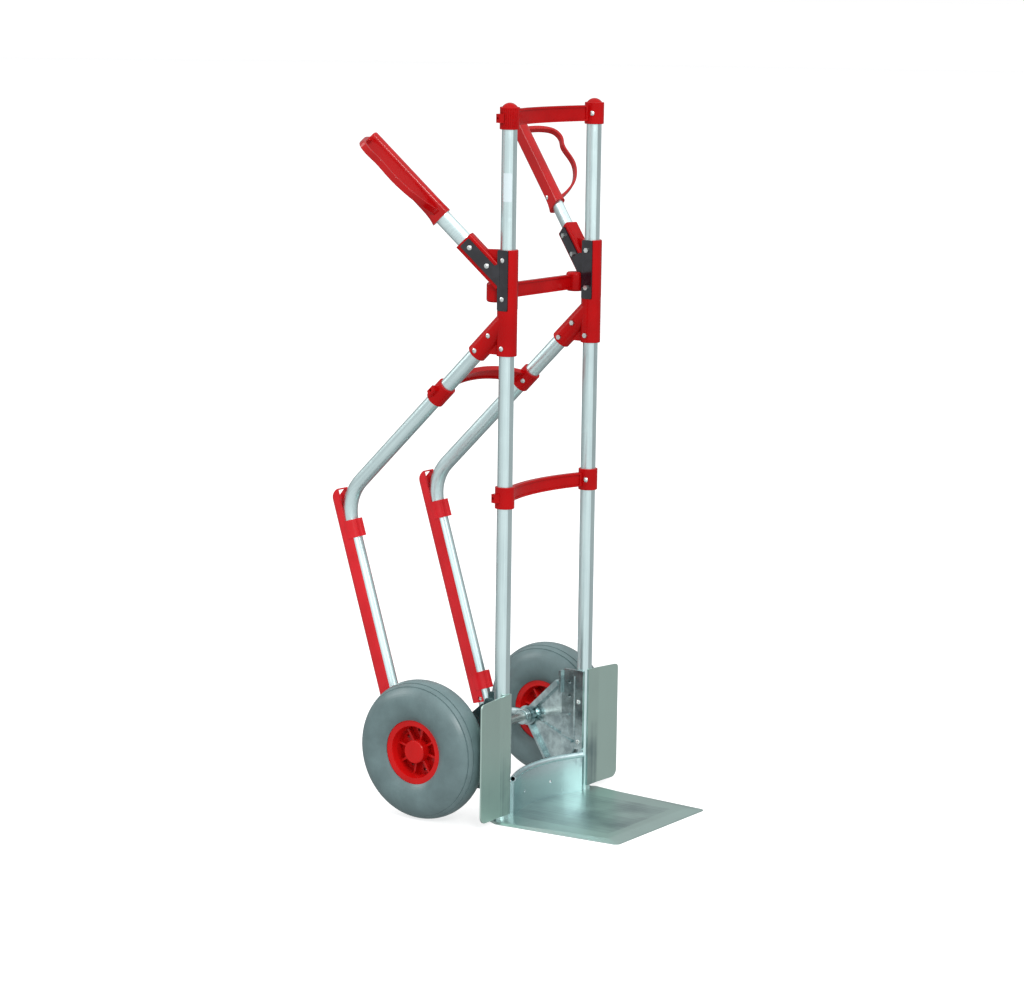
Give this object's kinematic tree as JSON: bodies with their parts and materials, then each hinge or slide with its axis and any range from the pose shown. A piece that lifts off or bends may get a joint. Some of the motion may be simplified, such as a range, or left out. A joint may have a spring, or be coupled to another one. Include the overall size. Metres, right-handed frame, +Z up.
{
  "type": "hand truck",
  "caption": "Two-wheeled hand truck with twin tubular uprights, yawed rear handles with hand guards, angled stair skids, side wings and a fixed flat toe plate.",
  "frame": {"origin": "on the floor at the toe plate's underside, midway between the uprights and on the plane of their axes", "axes": "+Z up along the uprights, -Y forward over the toe plate, X across the truck; X = 0 is the mirror plane"},
  "size_m": [0.6242, 0.6511, 1.3186],
  "materials": {
    "tube_aluminium": "satin anodised",
    "moulding_red": "glass-filled, moulded, glossy",
    "grip_red": "moulded, glossy",
    "strip_red": "moulded, satin",
    "gusset_black": "polished black",
    "cast_aluminium": "as cast, lightly polished",
    "sheet_aluminium": "mill finish, brushed",
    "rim_red": "moulded, satin",
    "tyre_grey": "smooth grey foam",
    "bearing_steel": "ground",
    "fastener_zinc": "bright zinc",
    "axle_steel": "bright drawn"
  },
  "bodies": {
    "frame": {"upright_left": "tube_aluminium", "upright_right": "tube_aluminium", "end_plug_left": "moulding_red", "end_plug_right": "moulding_red", "side_bracket_left": "moulding_red", "side_bracket_right": "moulding_red", "gusset_outer_left": "gusset_black", "gusset_outer_right": "gusset_black", "gusset_inner_left": "gusset_black", "gusset_inner_right": "gusset_black", "handle_tube_left": "tube_aluminium", "handle_tube_right": "tube_aluminium", "grip_left": "grip_red", "grip_right": "grip_red", "hand_guard_left": "grip_red", "hand_guard_right": "grip_red", "skid_tube_left": "tube_aluminium", "skid_tube_right": "tube_aluminium", "skid_strip_left": "strip_red", "skid_strip_right": "strip_red", "axle_bracket_left": "cast_aluminium", "axle_bracket_right": "cast_aluminium", "side_wing_left": "sheet_aluminium", "side_wing_right": "sheet_aluminium", "top_crossbar": "moulding_red", "middle_crossbar": "moulding_red", "lower_crossbar": "moulding_red", "rear_crossbar": "moulding_red", "crossbar_screws": "fastener_zinc", "toe_plate": "sheet_aluminium", "toe_wall": "sheet_aluminium", "toe_bead": "sheet_aluminium", "axle": "axle_steel", "gusset_bolts": "fastener_zinc", "gusset_nuts": "fastener_zinc", "bracket_bolts": "fastener_zinc", "bracket_nuts": "fastener_zinc", "middle_crossbar_screws": "fastener_zinc", "grip_screws": "fastener_zinc", "frame_bolts": "fastener_zinc", "frame_nuts": "fastener_zinc", "skid_foot_bolts": "fastener_zinc", "skid_foot_nuts": "fastener_zinc", "foot_spigots": "cast_aluminium", "foot_rivets": "fastener_zinc", "axle_spacers": "axle_steel", "retaining_rings": "fastener_zinc"},
    "wheel_left": {"wheel_rim_left": "rim_red", "tyre_left": "tyre_grey", "wheel_bearings_left": "bearing_steel", "hub_cap_left": "rim_red"},
    "wheel_right": {"wheel_rim_right": "rim_red", "tyre_right": "tyre_grey", "wheel_bearings_right": "bearing_steel", "hub_cap_right": "rim_red"}
  },
  "joints": [
    {"name": "wheel_left_spin", "type": "hinge", "parent": "frame", "child": "wheel_left", "pos_m": [0.21, 0.126, 0.13], "axis": [1, 0, 0], "continuous": true},
    {"name": "wheel_right_spin", "type": "hinge", "parent": "frame", "child": "wheel_right", "pos_m": [-0.21, 0.126, 0.13], "axis": [1, 0, 0], "continuous": true}
  ]
}
